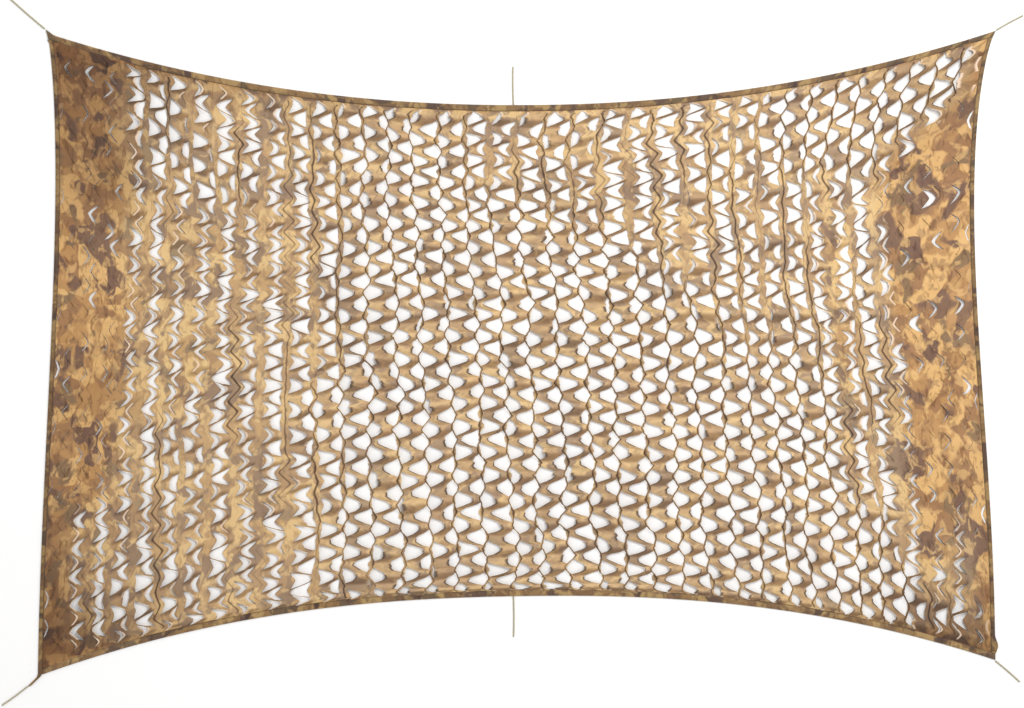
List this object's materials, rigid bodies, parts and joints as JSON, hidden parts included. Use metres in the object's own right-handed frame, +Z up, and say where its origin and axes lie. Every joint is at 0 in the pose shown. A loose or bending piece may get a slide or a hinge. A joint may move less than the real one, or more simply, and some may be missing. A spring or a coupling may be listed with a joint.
{
  "type": "camouflage netting",
  "caption": "Rectangular die-cut camouflage net stretched open, with inward-bowed bound edges and short corner and mid-edge ties, laid flat.",
  "frame": {"origin": "centre of the bound net's outline, on the surface that the net lies on", "axes": "+X along the long edges towards the net's right side, +Y towards its top edge, +Z up off the surface"},
  "size_m": [3.2179, 2.2358, 0.0161],
  "materials": {
    "net_cloth": "thin coated woven cloth printed in ochre, sand, tan and brown blotches, slight sheen",
    "binding": "folded strip of the same printed cloth, stitched, matt",
    "tie_cord": "khaki twisted cord, matt"
  },
  "bodies": {
    "root": {"net_cloth": "net_cloth", "binding_top": "binding", "binding_bottom": "binding", "binding_left": "binding", "binding_right": "binding", "tie_top_left": "tie_cord", "tie_top_right": "tie_cord", "tie_top_middle": "tie_cord", "tie_bottom_middle": "tie_cord", "tie_bottom_left": "tie_cord", "tie_bottom_right": "tie_cord"}
  },
  "joints": []
}
